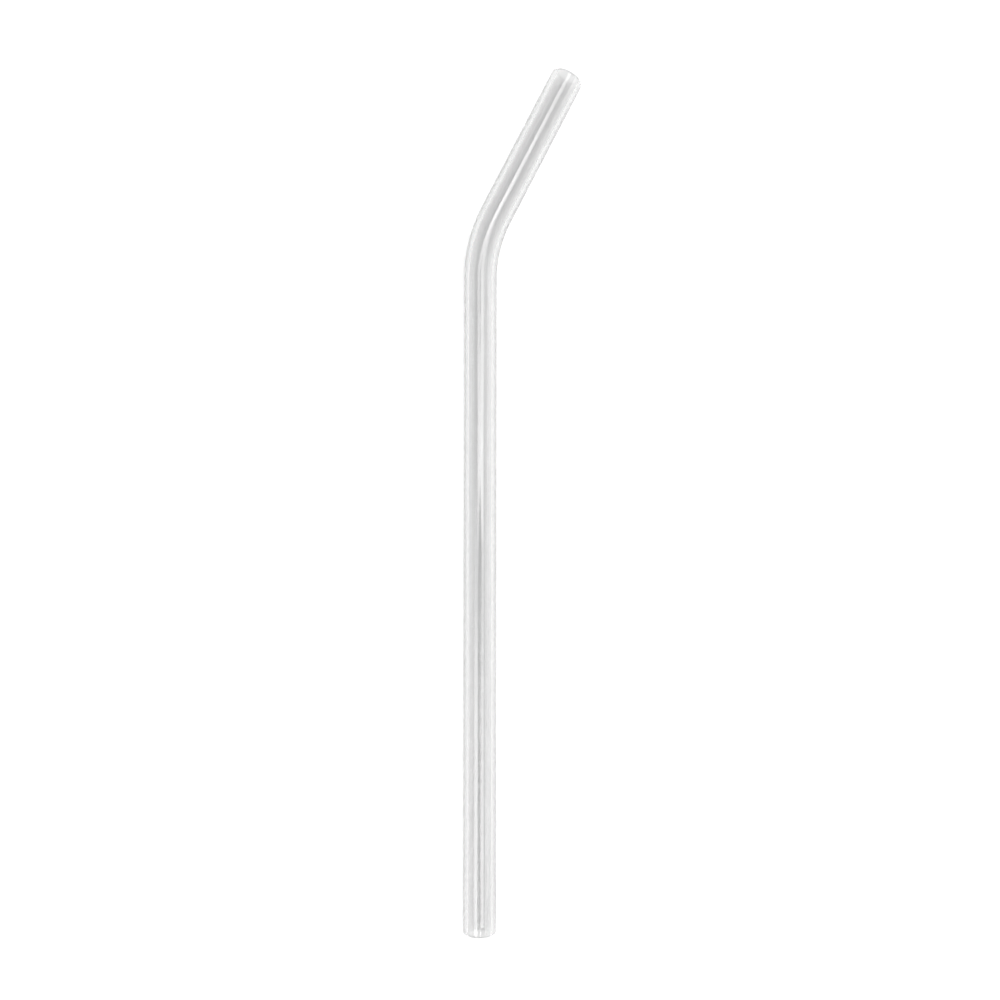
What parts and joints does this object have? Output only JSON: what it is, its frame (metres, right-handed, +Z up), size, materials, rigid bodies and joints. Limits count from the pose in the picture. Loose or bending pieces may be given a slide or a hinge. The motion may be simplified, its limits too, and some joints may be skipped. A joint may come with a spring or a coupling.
{
  "type": "glass straw",
  "caption": "Reusable clear glass drinking straw: a straight stem, a gentle bend and a short mouth arm, with melted round rims.",
  "frame": {"origin": "on the ground, under the middle of the outline of the straw as it lies on its side", "axes": "+Y along the stem towards the mouth end, +Z up, mouth arm leaning towards +X"},
  "size_m": [0.029, 0.211, 0.008],
  "materials": {
    "clear_glass": "clear colourless drawn glass, flame-polished ends"
  },
  "bodies": {
    "root": {"straw": "clear_glass"}
  },
  "joints": []
}
